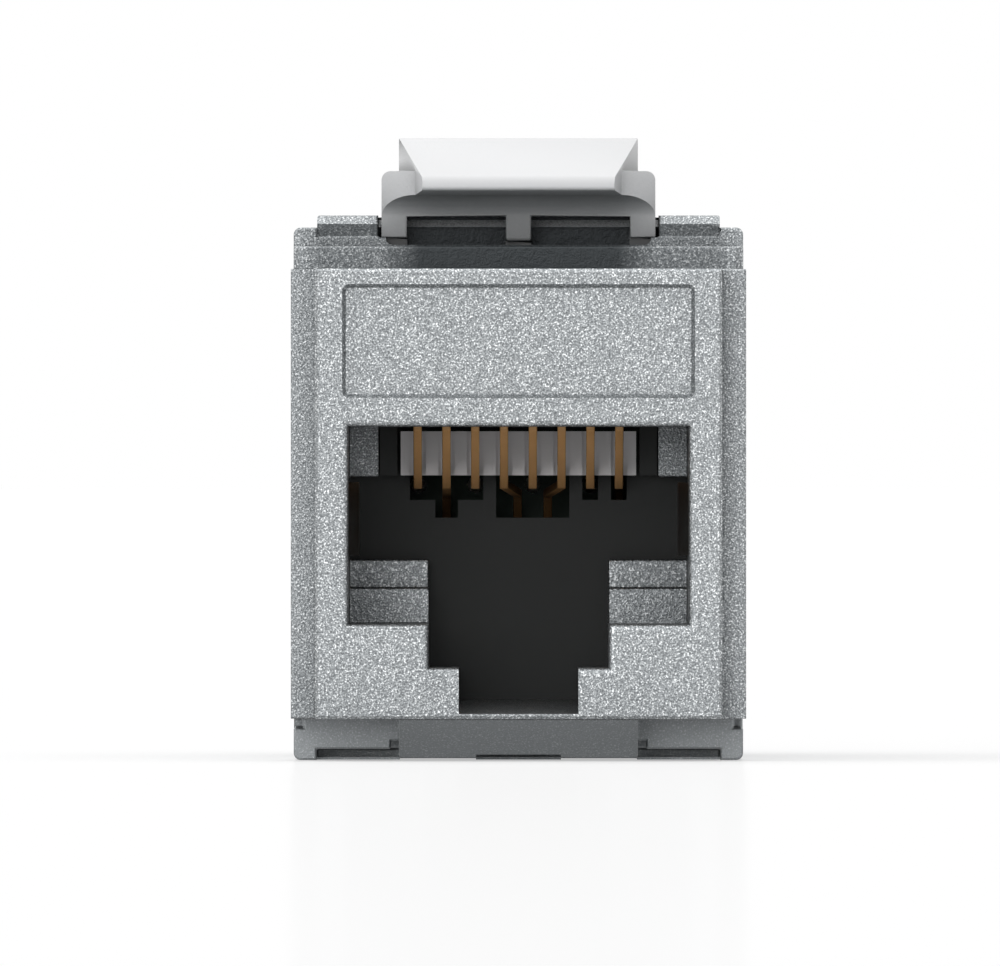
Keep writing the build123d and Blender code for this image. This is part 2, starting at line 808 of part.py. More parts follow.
# Right wing: cover with a knuckle on the hinge pin and half of the cable neck
with BuildPart() as wing_right:
    with BuildSketch(Plane.XY):
        with BuildLine():
            Line((wing_gap, hinge_y), (wing_gap, wing_end))
            Line((wing_gap, wing_end), (body_width / 2 - wing_corner, wing_end))
            RadiusArc(
                (body_width / 2 - wing_corner, wing_end),
                (body_width / 2, wing_end - wing_corner),
                wing_corner,
            )
            Polyline(
                (body_width / 2, wing_end - wing_corner), (body_width / 2, hinge_y), (wing_gap, hinge_y)
            )
        make_face()
    extrude(amount=wing_height / 2, both=True)
    with BuildSketch(Plane.XY):
        with BuildLine():
            Line((0, hinge_y - knuckle_radius), (0, wing_end - wing_wall))
            Line((0, wing_end - wing_wall), (body_width / 2 - wing_corner, wing_end - wing_wall))
            RadiusArc(
                (body_width / 2 - wing_corner, wing_end - wing_wall),
                (body_width / 2 - wing_wall, wing_end - wing_corner),
                wing_corner - wing_wall,
            )
            Polyline(
                (body_width / 2 - wing_wall, wing_end - wing_corner),
                (body_width / 2 - wing_wall, hinge_y - knuckle_radius),
                (0, hinge_y - knuckle_radius),
            )
        make_face()
    extrude(amount=wing_height / 2 - wing_plate, both=True, mode=Mode.SUBTRACT)
    with BuildSketch(Plane.XY):
        with Locations((hinge_x, hinge_y)):
            Circle(knuckle_radius)
    extrude(amount=wing_height / 2, both=True)
    with BuildSketch(front_plane(wing_end)):
        Circle(neck_radius)
    extrude(amount=wing_end - neck_end)
    with BuildSketch(front_plane(neck_end - lip_length)):
        Circle(lip_radius)
    extrude(amount=-lip_length)
    with BuildSketch(front_plane(tie_groove_y)):
        Circle(lip_radius)
        Circle(neck_radius - tie_groove_depth, mode=Mode.SUBTRACT)
    extrude(amount=-tie_groove_length, mode=Mode.SUBTRACT)
    with BuildSketch(front_plane(wing_end - wing_wall)):
        Circle(neck_bore)
    extrude(amount=wing_end - wing_wall - neck_end, mode=Mode.SUBTRACT)
    with BuildSketch(Plane.XY):
        with Locations((hinge_x, hinge_y)):
            Circle(pin_radius + pin_clearance)
    extrude(amount=wing_height / 2, both=True, mode=Mode.SUBTRACT)
    split(bisect_by=Plane.YZ.offset(wing_gap), keep=Keep.TOP)
    # Sunk grip panel with four ribs on the outside
    with BuildSketch(Plane.YZ.offset(body_width / 2)):
        with Locations((grip_y, 0)):
            RectangleRounded(grip_length, grip_height, grip_corner)
            with GridLocations(grip_rib_pitch, 0, 4, 1):
                Rectangle(grip_rib_width, grip_rib_height, mode=Mode.SUBTRACT)
    extrude(amount=-grip_depth, mode=Mode.SUBTRACT)
wing_right.part.label = "wing_right"
export_step(wing_right.part, "parts/wing_right.step")

with BuildPart() as wing_left:
    mirror(wing_right.part, about=Plane.YZ)
wing_left.part.label = "wing_left"
export_step(wing_left.part, "parts/wing_left.step")

# Hinge pins
with BuildPart() as hinge_pin_right:
    with BuildSketch(Plane.XY):
        with Locations((hinge_x, hinge_y)):
            Circle(pin_radius)
    extrude(amount=pin_length / 2, both=True)
    chamfer(hinge_pin_right.edges().filter_by(GeomType.CIRCLE), pin_chamfer)
hinge_pin_right.part.label = "hinge_pin_right"
export_step(hinge_pin_right.part, "parts/hinge_pin_right.step")

with BuildPart() as hinge_pin_left:
    mirror(hinge_pin_right.part, about=Plane.YZ)
hinge_pin_left.part.label = "hinge_pin_left"
export_step(hinge_pin_left.part, "parts/hinge_pin_left.step")
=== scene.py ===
"""Looks of the keystone jack: finishes, softened castings, small details, studio and camera.

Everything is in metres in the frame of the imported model: X to the right seen from the front,
Y back from the nose face and Z up.
"""

from __future__ import annotations

import json
import logging
import math
from dataclasses import dataclass
from enum import Enum

import bmesh
import bpy
import numpy as np
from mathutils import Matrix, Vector

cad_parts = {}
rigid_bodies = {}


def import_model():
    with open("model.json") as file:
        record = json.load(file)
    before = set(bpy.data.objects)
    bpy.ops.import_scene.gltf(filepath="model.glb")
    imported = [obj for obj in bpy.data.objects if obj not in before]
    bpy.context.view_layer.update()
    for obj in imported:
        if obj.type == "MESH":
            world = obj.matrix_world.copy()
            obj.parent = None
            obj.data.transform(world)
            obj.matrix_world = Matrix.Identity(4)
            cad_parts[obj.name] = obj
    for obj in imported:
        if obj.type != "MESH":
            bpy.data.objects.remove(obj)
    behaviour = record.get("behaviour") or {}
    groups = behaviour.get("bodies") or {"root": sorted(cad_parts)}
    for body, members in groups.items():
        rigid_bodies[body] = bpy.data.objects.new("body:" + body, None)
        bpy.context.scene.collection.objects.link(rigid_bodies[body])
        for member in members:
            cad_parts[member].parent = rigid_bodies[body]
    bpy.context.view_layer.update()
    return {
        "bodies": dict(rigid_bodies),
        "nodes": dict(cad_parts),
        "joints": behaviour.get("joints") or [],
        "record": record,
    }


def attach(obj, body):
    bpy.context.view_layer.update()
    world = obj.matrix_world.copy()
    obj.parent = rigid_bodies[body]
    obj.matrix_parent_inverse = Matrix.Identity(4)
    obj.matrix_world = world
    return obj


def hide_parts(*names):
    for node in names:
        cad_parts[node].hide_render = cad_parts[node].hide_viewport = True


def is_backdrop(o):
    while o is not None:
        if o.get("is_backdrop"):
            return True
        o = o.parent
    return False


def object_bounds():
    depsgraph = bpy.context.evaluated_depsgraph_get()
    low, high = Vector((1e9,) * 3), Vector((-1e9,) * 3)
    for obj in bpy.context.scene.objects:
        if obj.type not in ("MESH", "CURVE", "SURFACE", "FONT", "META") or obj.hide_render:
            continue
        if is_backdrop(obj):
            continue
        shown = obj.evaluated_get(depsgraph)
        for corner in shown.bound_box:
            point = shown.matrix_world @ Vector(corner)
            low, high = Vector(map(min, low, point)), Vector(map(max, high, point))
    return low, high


Colour = tuple[float, float, float]
Span = tuple[float, float]
Node = bpy.types.Node
Socket = bpy.types.NodeSocket
Tree = bpy.types.NodeTree

MM = 0.001
LOG = logging.getLogger("keystone_jack")


class Body(Enum):
    """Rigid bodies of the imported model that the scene's own pieces ride on."""

    HOUSING = "housing"
    LATCH = "latch"
    LEFT_WING = "left_wing"
    RIGHT_WING = "right_wing"


class Edge(Enum):
    """How far the edges of a moulding or casting are softened, in metres."""

    FINE = 0.04 * MM
    CRISP = 0.07 * MM
    SOFT = 0.09 * MM


# Small node helpers


def node_input(node: Node, name: str, value: object) -> None:
    """Sets an unlinked socket of a node by its name."""
    node.inputs[name].default_value = value


def feed(tree: Tree, value: object, socket: Socket) -> None:
    """Links a socket to an input, or sets the input where the value is a number or colour.

    Args:
        tree: Tree that holds the input's node.
        value: Output socket, number or colour.
        socket: Input that gets it.
    """
    if isinstance(value, Socket):
        tree.links.new(value, socket)
    else:
        socket.default_value = value


def math_node(
    tree: Tree, operation: str, first: object, second: object, clamp: bool = False
) -> Socket:
    """Adds a Math node whose two inputs are sockets or numbers.

    Args:
        tree: Tree that gets the node.
        operation: Math operation of the node.
        first: Socket or number of the first input.
        second: Socket or number of the second input.
        clamp: Whether the result is held between 0 and 1.

    Returns:
        The output socket.
    """
    node = tree.nodes.new("ShaderNodeMath")
    node.operation = operation
    node.use_clamp = clamp
    feed(tree, first, node.inputs[0])
    feed(tree, second, node.inputs[1])
    return node.outputs[0]


def product(tree: Tree, first: Socket, *factors: object) -> Socket:
    """Multiplies a socket by sockets or numbers, one after the other.

    Args:
        tree: Tree that gets the nodes.
        first: First factor.
        factors: Sockets or numbers that it is multiplied by.

    Returns:
        The output socket.
    """
    for factor in factors:
        first = math_node(tree, "MULTIPLY", first, factor)
    return first


def opposite(tree: Tree, mask: Socket) -> Socket:
    """Turns a mask round: 1 minus its value."""
    return math_node(tree, "SUBTRACT", 1.0, mask)


def noise_node(tree: Tree, vector: Socket, scale: Socket, detail: float) -> Socket:
    """Adds a Noise Texture and gives back its value.

    Args:
        tree: Tree that gets the node.
        vector: Coordinates socket.
        scale: Scale socket.
        detail: Octaves of detail.

    Returns:
        The factor socket.
    """
    node = tree.nodes.new("ShaderNodeTexNoise")
    tree.links.new(vector, node.inputs["Vector"])
    tree.links.new(scale, node.inputs["Scale"])
    node_input(node, "Detail", detail)
    return node.outputs[0]


def range_node(tree: Tree, value: Socket, low: float, high: float) -> Socket:
    """Adds a Map Range node that stretches low..high to 0..1 and clamps the rest.

    Args:
        tree: Tree that gets the node.
        value: Socket that is stretched.
        low: Value that becomes 0.
        high: Value that becomes 1. It may be the smaller one.

    Returns:
        The output socket.
    """
    node = tree.nodes.new("ShaderNodeMapRange")
    tree.links.new(value, node.inputs["Value"])
    node_input(node, "From Min", low)
    node_input(node, "From Max", high)
    return node.outputs[0]


def mix_colour(tree: Tree, factor: Socket, first: object, second: object) -> Socket:
    """Adds a colour Mix node whose two colours are sockets or plain colours.

    Args:
        tree: Tree that gets the node.
        factor: Socket of the mix.
        first: Colour or socket at factor 0.
        second: Colour or socket at factor 1.

    Returns:
        The colour output socket.
    """
    node = tree.nodes.new("ShaderNodeMix")
    node.data_type = "RGBA"
    tree.links.new(factor, node.inputs[0])
    for index, value in ((6, first), (7, second)):
        feed(tree, value if isinstance(value, Socket) else (*value, 1.0), node.inputs[index])
    return node.outputs[2]


def split_coordinates(tree: Tree, kind: str) -> Node:
    """Splits the place on the piece, or the direction of its surface, into X, Y and Z.

    Args:
        tree: Tree that gets the nodes.
        kind: Object for the place or Normal for the direction.

    Returns:
        The node with the three outputs.
    """
    where = tree.nodes.new("ShaderNodeTexCoord")
    parts = tree.nodes.new("ShaderNodeSeparateXYZ")
    tree.links.new(where.outputs[kind], parts.inputs[0])
    return parts


def seen_mask(tree: Tree) -> Socket:
    """Adds a mask that is 1 for camera, glossy and transmission rays and 0 for the rest.

    Args:
        tree: Tree that gets the nodes.

    Returns:
        The output socket.
    """
    path = tree.nodes.new("ShaderNodeLightPath")
    mask = path.outputs["Is Camera Ray"]
    for ray in ("Is Glossy Ray", "Is Transmission Ray"):
        mask = math_node(tree, "MAXIMUM", mask, path.outputs[ray])
    return mask


# Shared effects

OFF_LATTICE = (0.015 * MM, 0.015 * MM, 0.015 * MM)  # how far aside the grain is read
COARSE_SHARE = 0.4  # scale of the coarse grain against the fine one
FINE_HEIGHT = 0.7
COARSE_HEIGHT = 0.6
MIDDLE_TONE = 0.5  # tone of a calm surface
SHELTER_RAYS = 6


def new_group(name: str, inputs: tuple[str, ...], outputs: tuple[str, ...]) -> Tree:
    """Makes an empty shader node group. Its sockets are numbers, and Vector is a vector.

    Args:
        name: Name of the group.
        inputs: Names of the inputs.
        outputs: Names of the outputs.

    Returns:
        The node tree, with its input and output nodes in place.
    """
    tree = bpy.data.node_groups.new(name, "ShaderNodeTree")
    for side, labels in (("INPUT", inputs), ("OUTPUT", outputs)):
        for label in labels:
            kind = "NodeSocketVector" if label == "Vector" else "NodeSocketFloat"
            tree.interface.new_socket(label, in_out=side, socket_type=kind)
    tree.nodes.new("NodeGroupInput").name = "In"
    tree.nodes.new("NodeGroupOutput").name = "Out"
    return tree


def cast_grain_group() -> Tree:
    """Blasted casting grain: fine pits and bright crystal faces, weaker where it is calm.

    Two noises, one two and a half times as coarse as the other, are added for the height. The
    tone is the stretched fine noise, and the spark mask is its brightest part. Both are read a
    little aside, because noise goes flat on the planes where a coordinate is 0.

    Returns:
        The group, with outputs Tone, Spark and Height.
    """
    tree = new_group("Cast Grain", ("Vector", "Grain Scale", "Calm"), ("Tone", "Spark", "Height"))
    source, sink = tree.nodes["In"], tree.nodes["Out"]
    aside = tree.nodes.new("ShaderNodeVectorMath")
    tree.links.new(source.outputs["Vector"], aside.inputs[0])
    aside.inputs[1].default_value = OFF_LATTICE
    spot, scale = aside.outputs["Vector"], source.outputs["Grain Scale"]
    fine = noise_node(tree, spot, scale, detail=2.0)
    coarse = noise_node(tree, spot, product(tree, scale, COARSE_SHARE), detail=1.0)
    tone = range_node(tree, fine, low=0.34, high=0.66)
    spark = range_node(tree, fine, low=0.58, high=0.7)
    lively = math_node(tree, "SUBTRACT", 1.0, source.outputs["Calm"], clamp=True)
    height = math_node(
        tree, "ADD", product(tree, fine, FINE_HEIGHT), product(tree, coarse, COARSE_HEIGHT)
    )
    contrast = product(tree, math_node(tree, "SUBTRACT", tone, MIDDLE_TONE), lively)
    tree.links.new(math_node(tree, "ADD", contrast, MIDDLE_TONE), sink.inputs["Tone"])
    tree.links.new(product(tree, spark, lively), sink.inputs["Spark"])
    tree.links.new(product(tree, height, lively), sink.inputs["Height"])
    return tree


def handling_group() -> Tree:
    """Faint cloudy tone and fine waviness from handling and moulding flow.

    The tone is a stretched coarse noise, and the height is a fine one.

    Returns:
        The group, with outputs Tone and Height.
    """
    tree = new_group("Handling", ("Vector", "Cloud Scale", "Fine Scale"), ("Tone", "Height"))
    source, sink = tree.nodes["In"], tree.nodes["Out"]
    spot = source.outputs["Vector"]
    cloud = noise_node(tree, spot, source.outputs["Cloud Scale"], detail=3.0)
    fine = noise_node(tree, spot, source.outputs["Fine Scale"], detail=1.0)
    tree.links.new(range_node(tree, cloud, low=0.3, high=0.7), sink.inputs["Tone"])
    tree.links.new(fine, sink.inputs["Height"])
    return tree


def crevice_group() -> Tree:
    """Painted shade in corners and under overhangs, as a mask that darkens a base colour.

    The mask is the open part of the sky over a point, counted up to Reach away, raised to Depth.

    Returns:
        The group, with one output: 1 where a point lies open, less where painted shade darkens it.
    """
    tree = new_group("Crevice Shade", ("Reach", "Depth"), ("Unshaded",))
    source, sink = tree.nodes["In"], tree.nodes["Out"]
    shelter = tree.nodes.new("ShaderNodeAmbientOcclusion")
    shelter.samples = SHELTER_RAYS
    tree.links.new(source.outputs["Reach"], shelter.inputs["Distance"])
    unshaded = math_node(tree, "POWER", shelter.outputs["AO"], source.outputs["Depth"])
    tree.links.new(unshaded, sink.inputs["Unshaded"])
    return tree


@dataclass(frozen=True)
class Effects:
    """The node groups that the finishes share."""

    grain: Tree
    handling: Tree
    crevice: Tree

    @classmethod
    def build(cls) -> Effects:
        """Builds each shared group once."""
        return cls(cast_grain_group(), handling_group(), crevice_group())


def blank_material(name: str) -> tuple[bpy.types.Material, Tree, Node]:
    """Makes a node material with a Principled shader.

    Args:
        name: Name of the material.

    Returns:
        The material, its tree and its Principled node.
    """
    material = bpy.data.materials.new(name)
    material.use_nodes = True
    tree = material.node_tree
    return material, tree, tree.nodes["Principled BSDF"]


def place_group(tree: Tree, group: Tree, values: dict[str, float]) -> Node:
    """Places a shared group in a material, on Object coordinates, with its own values.

    Args:
        tree: Material tree.
        group: Shared node group.
        values: Input names and numbers.

    Returns:
        The group node.
    """
    node = tree.nodes.new("ShaderNodeGroup")
    node.node_tree = group
    if "Vector" in node.inputs:
        place = tree.nodes.new("ShaderNodeTexCoord")
        tree.links.new(place.outputs["Object"], node.inputs["Vector"])
    for name, value in values.items():
        node_input(node, name, value)
    return node


def link_bump(tree: Tree, shader: Node, height: Socket, distance: float, strength: float) -> None:
    """Feeds a height through a Bump node into the shader's normal.

    Args:
        tree: Material tree.
        shader: Principled node.
        height: Socket of the height.
        distance: How far a height of 1 stands out.
        strength: Share of the bump that is used.
    """
    bump = tree.nodes.new("ShaderNodeBump")
    node_input(bump, "Distance", distance)
    node_input(bump, "Strength", strength)
    tree.links.new(height, bump.inputs["Height"])
    tree.links.new(bump.outputs["Normal"], shader.inputs["Normal"])


# Finishes


@dataclass(frozen=True)
class CastZinc:
    """Sparkling blasted zinc casting.

    The grain is calm below calm_below. Painted shade darkens its corners and recesses, but only a
    little on the front face and where the grain is calm. Under the latch a painted shadow lies on
    the seat, and the middle rib's upward slope has a painted highlight.
    """

    name: str = "zinc_casting"
    dark: Colour = (0.15, 0.16, 0.167)
    light: Colour = (0.42, 0.44, 0.45)
    spark: Colour = (0.9, 0.92, 0.93)
    # Painted shade colours: the first for corners, the second for the deepest recesses.
    shade_colour: Colour = (0.045, 0.05, 0.053)
    deep_shade_colour: Colour = (0.012, 0.013, 0.014)
    # Colour of the painted highlight on the middle rib's upward slope.
    lit_slope: Colour = (0.7, 0.72, 0.73)
    metallic: float = 0.9
    roughness: float = 0.42
    grain_scale: float = 16000.0
    bump_depth: float = 0.03 * MM
    bump_strength: float = 1.0
    crevice_reach: float = 4.5 * MM
    crevice_depth: float = 0.42
    calm_below: float = -7.95 * MM
    calm: float = 0.8
    # The front face up to this depth, and the share of painted shade that it leaves out.
    shade_free_front: float = 0.35 * MM
    shade_free: float = 0.85
    seat_front: float = 4.6 * MM
    seat_back: float = 8.7 * MM
    seat_bottom: float = 7.93 * MM
    # Painted shadow under the latch: lighter beside it, fading out before the casting's sides,
    # stronger beside the latch on the rib and left off the rib's upward slopes.
    shadow_inner: float = 3.5 * MM
    shadow_outer: float = 4.9 * MM
    shadow_side: float = 0.42
    shadow_end: float = 7.8 * MM
    shadow_fade: float = 0.9 * MM
    rib_front: float = 6.3 * MM
    rib_shadow_gain: float = 0.35
    rib_slope_unshaded: float = 0.85
    # Where the painted highlight on the middle rib's slope begins and how far out it reaches.
    lit_slope_front: float = 7.85 * MM
    lit_slope_half: float = 4.93 * MM
    upward: Span = (0.25, 0.6)

    def inside(self, tree: Tree, place: Node, limits: tuple[tuple[str, str, float], ...]) -> Socket:
        """Mask of a zone of the casting.

        Args:
            tree: Material tree.
            place: Node that splits the Object coordinates.
            limits: An axis, a comparison and a place for each side of the zone.

        Returns:
            1 inside the zone and 0 outside it.
        """
        sides = [math_node(tree, test, place.outputs[axis], limit) for axis, test, limit in limits]
        return product(tree, *sides)

    def seat(self, tree: Tree, place: Node, facing: Socket) -> tuple[Socket, Socket]:
        """Painted shadow and painted highlight on the latch's seat.

        The painted shadow is heavy under the latch and lighter beside it, fades out before the
        casting's sides and lies on upright faces. The painted highlight lies on the middle rib's
        upward slope behind the latch.

        Args:
            tree: Material tree.
            place: Node that splits the Object coordinates.
            facing: Upward part of the surface's normal.

        Returns:
            Masks of the painted shadow and of the painted highlight, from 0 to 1.
        """
        side = math_node(tree, "ABSOLUTE", place.outputs["X"], 0.0)
        rib = math_node(tree, "GREATER_THAN", place.outputs["Y"], self.rib_front)
        thinning = product(tree, rib, self.rib_shadow_gain)
        bare = math_node(tree, "SUBTRACT", 1.0 - self.shadow_side, thinning)
        beside = range_node(tree, side, self.shadow_inner, self.shadow_outer)
        latch_shadow = opposite(tree, product(tree, beside, bare))
        rim = range_node(tree, side, self.shadow_end, self.shadow_end - self.shadow_fade)
        zone = self.inside(
            tree,
            place,
            (
                ("Y", "GREATER_THAN", self.seat_front),
                ("Y", "LESS_THAN", self.seat_back),
                ("Z", "GREATER_THAN", self.seat_bottom),
            ),
        )
        slope = range_node(tree, facing, *self.upward)
        upright = opposite(tree, product(tree, slope, rib, self.rib_slope_unshaded))
        middle = math_node(tree, "LESS_THAN", side, self.lit_slope_half)
        behind = math_node(tree, "GREATER_THAN", place.outputs["Y"], self.lit_slope_front)
        return (
            product(tree, latch_shadow, rim, zone, upright),
            product(tree, middle, behind, zone, slope),
        )

    def build(self, effects: Effects) -> bpy.types.Material:
        """Builds the material, with a calmer grain under the nose and a painted shadow under the
        latch.

        Args:
            effects: Shared node groups.

        Returns:
            The material.
        """
        material, tree, shader = blank_material(self.name)
        grain = place_group(tree, effects.grain, {"Grain Scale": self.grain_scale})
        place = split_coordinates(tree, "Object")
        normal = split_coordinates(tree, "Normal")
        low = math_node(tree, "LESS_THAN", place.outputs["Z"], self.calm_below)
        calm = product(tree, low, self.calm)
        tree.links.new(calm, grain.inputs["Calm"])
        base = mix_colour(tree, grain.outputs["Tone"], self.dark, self.light)
        sparkling = mix_colour(tree, grain.outputs["Spark"], base, self.spark)
        # Painted shade in corners and recesses, lifted on the front face and where the grain is
        # calm.
        crevice = place_group(
            tree, effects.crevice, {"Reach": self.crevice_reach, "Depth": self.crevice_depth}
        )
        front = math_node(tree, "LESS_THAN", place.outputs["Y"], self.shade_free_front)
        shade_free = math_node(tree, "MAXIMUM", calm, product(tree, front, self.shade_free))
        unshaded = math_node(tree, "MAXIMUM", crevice.outputs["Unshaded"], shade_free)
        shade_tone = mix_colour(tree, unshaded, self.deep_shade_colour, self.shade_colour)
        # Painted shadow under the latch, and a painted highlight on the middle rib's slope, which
        # is also less metallic.
        latch_shadow, lit_slope_mask = self.seat(tree, place, normal.outputs["Z"])
        shaded = mix_colour(tree, product(tree, unshaded, opposite(tree, latch_shadow)), shade_tone, sparkling)
        lit_slope = mix_colour(tree, grain.outputs["Tone"], self.light, self.lit_slope)
        tree.links.new(mix_colour(tree, lit_slope_mask, shaded, lit_slope), shader.inputs["Base Color"])
        metal = product(tree, opposite(tree, lit_slope_mask), self.metallic)
        tree.links.new(metal, shader.inputs["Metallic"])
        node_input(shader, "Roughness", self.roughness)
        link_bump(tree, shader, grain.outputs["Height"], self.bump_depth, self.bump_strength)
        return material


@dataclass(frozen=True)
class MouldedPlastic:
    """Injection moulded plastic with faint flow clouds."""

    name: str
    colour: Colour
    roughness: float
    clouds: float = 0.06
    cloud_scale: float = 300.0
    fine_scale: float = 9000.0
    bump_depth: float = 0.002 * MM
    bump_strength: float = 0.6
    gloss: float = 0.5
    # Colour of the painted shade in corners, if any, with how far that shade reaches and how deep
    # it goes.
    shade_colour: Colour | None = None
    crevice_reach: float = 3.0 * MM
    crevice_depth: float = 3.0
    # Colour of the painted shade on the foot, and the heights over which it fades out.
    foot_shade: Colour = (0.03, 0.033, 0.035)
    foot_shade_below: Span = (8.97 * MM, 9.04 * MM)

    def build(self, effects: Effects) -> bpy.types.Material:
        """Builds the material. Plastic with painted corner shade also gets painted shade at its
        foot.

        Args:
            effects: Shared node groups.

        Returns:
            The material.
        """
        material, tree, shader = blank_material(self.name)
        handling = place_group(
            tree,
            effects.handling,
            {"Cloud Scale": self.cloud_scale, "Fine Scale": self.fine_scale},
        )
        darker = tuple(value * (1.0 - self.clouds) for value in self.colour)
        base = mix_colour(tree, handling.outputs["Tone"], darker, self.colour)
        # Painted shade in corners, then painted shade on the foot below the given heights.
        if self.shade_colour:
            crevice = place_group(
                tree, effects.crevice, {"Reach": self.crevice_reach, "Depth": self.crevice_depth}
            )
            base = mix_colour(tree, crevice.outputs["Unshaded"], self.shade_colour, base)
            place = split_coordinates(tree, "Object")
            above_foot_shade = range_node(tree, place.outputs["Z"], *self.foot_shade_below)
            base = mix_colour(tree, above_foot_shade, self.foot_shade, base)
        tree.links.new(base, shader.inputs["Base Color"])
        node_input(shader, "Roughness", self.roughness)
        node_input(shader, "Specular IOR Level", self.gloss)
        link_bump(tree, shader, handling.outputs["Height"], self.bump_depth, self.bump_strength)
        return material


@dataclass(frozen=True)
class PlatedMetal:
    """Smooth stamped or drawn metal: plating, steel or bronze."""

    name: str
    colour: Colour
    roughness: float
    tarnish: Colour
    # Colour of the painted shade in corners.
    shade_colour: Colour
    metallic: float = 1.0
    cloud_scale: float = 900.0
    fine_scale: float = 16000.0
    crevice_reach: float = 3.0 * MM
    crevice_depth: float = 2.0
    bump_depth: float = 0.003 * MM
    bump_strength: float = 0.5

    def build(self, effects: Effects) -> bpy.types.Material:
        """Builds the material.

        Args:
            effects: Shared node groups.

        Returns:
            The material.
        """
        material, tree, shader = blank_material(self.name)
        handling = place_group(
            tree,
            effects.handling,
            {"Cloud Scale": self.cloud_scale, "Fine Scale": self.fine_scale},
        )
        base = mix_colour(tree, handling.outputs["Tone"], self.tarnish, self.colour)
        # Painted shade in corners.
        crevice = place_group(
            tree, effects.crevice, {"Reach": self.crevice_reach, "Depth": self.crevice_depth}
        )
        shaded = mix_colour(tree, crevice.outputs["Unshaded"], self.shade_colour, base)
        tree.links.new(shaded, shader.inputs["Base Color"])
        node_input(shader, "Metallic", self.metallic)
        node_input(shader, "Roughness", self.roughness)
        link_bump(tree, shader, handling.outputs["Height"], self.bump_depth, self.bump_strength)
        return material


FINISHES: tuple[CastZinc | MouldedPlastic | PlatedMetal, ...] = (
    CastZinc(),
    # The white latch gets painted shade in corners and at its foot.
    MouldedPlastic("white_plastic", (0.82, 0.825, 0.835), 0.3, 0.01, shade_colour=(0.1, 0.107, 0.11)),
    MouldedPlastic("black_plastic", (0.009, 0.0105, 0.01), 0.55, gloss=0.35),
    MouldedPlastic("grey_plastic", (0.95, 0.92, 0.92), 0.5),
    MouldedPlastic("cream_plastic", (0.78, 0.76, 0.7), 0.45),
    MouldedPlastic("board_laminate", (0.006, 0.02, 0.01), 0.5, 0.2, gloss=0.2),
    # The fifth value of each plated metal is the colour of its painted shade in corners.
    PlatedMetal(
        "gold_plating", (1.0, 0.56, 0.24), 0.45, (0.95, 0.52, 0.21), (0.03, 0.011, 0.003), 0.1
    ),
    PlatedMetal("tinned_bronze", (0.7, 0.68, 0.64), 0.32, (0.5, 0.48, 0.45), (0.1, 0.095, 0.09)),
    PlatedMetal(
        "spring_bronze", (0.22, 0.215, 0.21), 0.35, (0.16, 0.13, 0.11), (0.03, 0.02, 0.015)
    ),
    PlatedMetal("pin_steel", (0.6, 0.6, 0.62), 0.3, (0.42, 0.42, 0.43), (0.08, 0.08, 0.08)),
)


# Meshes

FLAT = math.radians(0.5)  # faces that bend less are one flat face
SHARP = math.radians(28)  # edges that bend more are sharp
RUN_BEND = math.radians(25)  # sharp edges that turn less are one run
MERGE_DISTANCE = 0.0005 * MM
SAME_PLANE = 0.001 * MM
ROOM_FACTOR = 2.5  # room that a rounding needs, against its width
PROBED_SHARES = (0.25, 0.5, 0.75)  # where on an edge the room is measured
ROUNDING_SEGMENTS = 3
TINY = 1e-12  # keeps a length of nothing from dividing


def merged_copy(
    source: bpy.types.Object, name: str, material: bpy.types.Material
) -> bpy.types.Object:
    """Copies a solid into one joined mesh with its flat faces dissolved.

    A flat face that closes round a hole stays in triangles, because one polygon can't hold it.
    Curved stretches are smooth, and flat faces keep their own normal. Edges inside a flat face
    are marked as seams.

    Args:
        source: CAD node object.
        name: Name of the new piece.
        material: Finish of the piece.

    Returns:
        The new object, at the origin.
    """
    mesh = source.data.copy()
    mesh.name = name
    grid = bmesh.new()
    grid.from_mesh(mesh)
    bmesh.ops.remove_doubles(grid, verts=grid.verts, dist=MERGE_DISTANCE)
    bmesh.ops.dissolve_limit(grid, angle_limit=FLAT, verts=grid.verts, edges=grid.edges)
    ringed = {
        face
        for edge in grid.edges
        if edge.calc_face_angle(math.pi) < FLAT
        for face in edge.link_faces
    }
    bmesh.ops.triangulate(grid, faces=list(ringed), ngon_method="BEAUTY")
    for face in grid.faces:
        bends = [edge.calc_face_angle(math.pi) for edge in face.edges]
        face.smooth = any(FLAT < bend < SHARP for bend in bends)
    for edge in grid.edges:
        edge.smooth = edge.calc_face_angle(math.pi) < SHARP
        edge.seam = edge.calc_face_angle(math.pi) < FLAT
    grid.to_mesh(mesh)
    grid.free()
    mesh.materials.clear()
    mesh.materials.append(material)
    piece = bpy.data.objects.new(name, mesh)
    bpy.context.scene.collection.objects.link(piece)
    return piece


def read_array(
    items: bpy.types.bpy_prop_collection, name: str, width: int, kind: type
) -> np.ndarray:
    """Reads one property of all vertices or edges of a mesh.

    Args:
        items: The vertices or edges.
        name: Name of the property.
        width: How many values each of them has.
        kind: Type of the values.

    Returns:
        One row for each of them, or one value where the width is 1.
    """
    values = np.empty(len(items) * width, kind)
    items.foreach_get(name, values)
    return values.reshape(-1, width) if width > 1 else values


